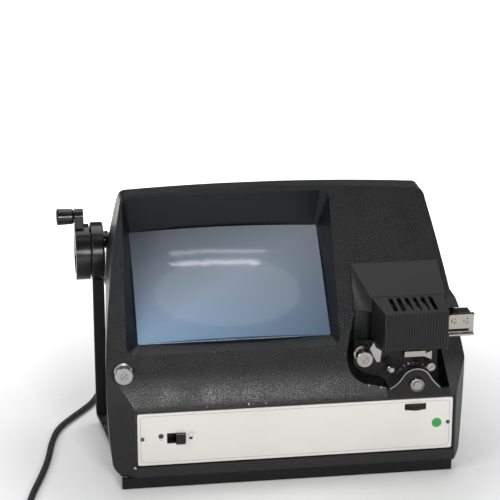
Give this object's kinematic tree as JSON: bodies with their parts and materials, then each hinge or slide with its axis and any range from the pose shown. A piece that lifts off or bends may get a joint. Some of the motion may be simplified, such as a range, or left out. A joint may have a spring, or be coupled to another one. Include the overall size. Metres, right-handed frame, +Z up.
{
  "type": "film editor viewer",
  "caption": "Table-top 8 mm film viewer with a recessed screen, a film gate under a ribbed lamp cover, guide rollers and a fold-out rewind arm.",
  "frame": {"origin": "on the table, under the middle of the object's box without the cord", "axes": "+Z up, +X along the screen's width to the operator's right, +Y away from the operator"},
  "size_m": [0.4543, 0.3608, 0.2286],
  "materials": {
    "casing_black": "hammertone",
    "base_black": "satin",
    "hub_black": "gloss",
    "arm_black": "satin",
    "cover_plastic": "matt, ribbed",
    "inner_plastic": "matt",
    "plate_silver": "satin",
    "nickel": "polished",
    "steel": "brushed",
    "green_paint": "gloss",
    "rubber_black": "matt",
    "screen_glass": "frosted blue-grey",
    "clear_glass": "clear",
    "mirror_glass": "mirror",
    "hood_satin": "smooth satin",
    "copper_core": "varnished"
  },
  "bodies": {
    "housing": {"base_plate": "base_black", "rubber_feet": "rubber_black", "front_casing": "casing_black", "rear_cover": "casing_black", "casing_screws": "steel", "screen_glass": "screen_glass", "field_lens": "clear_glass", "screen_clips": "steel", "name_plate": "plate_silver", "name_plate_screws": "steel", "green_marker_disc": "green_paint", "switch_body": "inner_plastic", "lens_mount": "inner_plastic", "first_mirror": "mirror_glass", "mirror_stands": "inner_plastic", "lamp_hood": "hood_satin", "main_mirror": "mirror_glass", "gate_chassis": "arm_black", "gate_front_plate": "arm_black", "film_saddle": "nickel", "aperture_plate": "nickel", "light_shield": "steel", "left_roller_post": "steel", "right_roller_post": "steel", "slotted_screws": "nickel", "gate_roller_pin": "steel", "lamp_bracket": "steel", "lamp_socket": "inner_plastic", "lamp_bulb": "clear_glass", "condenser_lens": "clear_glass", "transformer": "copper_core", "splicer_rail": "nickel", "rail_bracket": "arm_black", "rail_screws": "nickel", "arm_pivot_pin": "steel", "cord_strain_relief": "rubber_black", "mains_cord": "rubber_black", "mains_cord_coil": "rubber_black", "mains_plug": "rubber_black"},
    "arm": {"arm_foot_bar": "steel", "reel_arm": "arm_black", "gear_case": "hub_black", "arm_inner_plate": "steel"},
    "crank": {"crank": "hub_black", "ring_gear": "inner_plastic", "knob_pin": "steel"},
    "spindle": {"spindle_pinion": "inner_plastic", "reel_spindle": "hub_black"},
    "knob": {"crank_knob": "hub_black"},
    "left_roller": {"left_guide_roller": "steel"},
    "right_roller": {"right_guide_roller": "nickel"},
    "small_roller": {"gate_roller": "nickel"},
    "sprocket": {"film_sprocket": "steel", "rotating_prism": "clear_glass", "sprocket_cap": "nickel"},
    "switch": {"switch_knob": "hub_black"},
    "focus": {"focus_wheel": "hub_black"},
    "lens": {"lens_tube": "steel", "projection_lens": "clear_glass"},
    "cover": {"lamp_cover": "cover_plastic"}
  },
  "joints": [
    {"name": "arm_fold", "type": "hinge", "parent": "housing", "child": "arm", "pos_m": [-0.11925, -0.0643, 0.0083], "axis": [0, 0, 1], "range_deg": [0, 96]},
    {"name": "crank_turn", "type": "hinge", "parent": "arm", "child": "crank", "pos_m": [-0.14225, 0.0617, 0.1626], "axis": [1, 0, 0], "continuous": true},
    {"name": "spindle_turn", "type": "hinge", "parent": "arm", "child": "spindle", "pos_m": [-0.12825, 0.0617, 0.1728], "axis": [1, 0, 0], "continuous": true},
    {"name": "knob_spin", "type": "hinge", "parent": "crank", "child": "knob", "pos_m": [-0.16325, 0.0617, 0.195], "axis": [1, 0, 0], "continuous": true},
    {"name": "left_roller_spin", "type": "hinge", "parent": "housing", "child": "left_roller", "pos_m": [-0.12425, -0.0743, 0.1028], "axis": [0, 1, 0], "continuous": true},
    {"name": "right_roller_spin", "type": "hinge", "parent": "housing", "child": "right_roller", "pos_m": [0.07435, -0.0703, 0.1062], "axis": [0, 1, 0], "continuous": true},
    {"name": "small_roller_spin", "type": "hinge", "parent": "housing", "child": "small_roller", "pos_m": [0.09725, -0.0703, 0.0953], "axis": [0, 1, 0], "continuous": true},
    {"name": "sprocket_spin", "type": "hinge", "parent": "housing", "child": "sprocket", "pos_m": [0.11825, -0.0703, 0.0825], "axis": [0, 1, 0], "continuous": true},
    {"name": "switch_slide", "type": "slide", "parent": "housing", "child": "switch", "axis": [1, 0, 0], "range_m": [-0.0069, 0]},
    {"name": "focus_turn", "type": "hinge", "parent": "housing", "child": "focus", "pos_m": [0.11825, -0.0703, 0.061], "axis": [0, 0, 1], "range_deg": [-120, 120]},
    {"name": "lens_travel", "type": "slide", "parent": "housing", "child": "lens", "axis": [0, 0, 1], "range_m": [-0.00209, 0.00209]},
    {"name": "cover_pull", "type": "slide", "parent": "housing", "child": "cover", "axis": [0, -1, 0], "range_m": [0, 0.045]}
  ],
  "couplings": [
    {"joint": "spindle_turn", "follows": "crank_turn", "ratio": 3},
    {"joint": "focus_turn", "follows": "lens_travel", "rad_per_m": 1000}
  ]
}
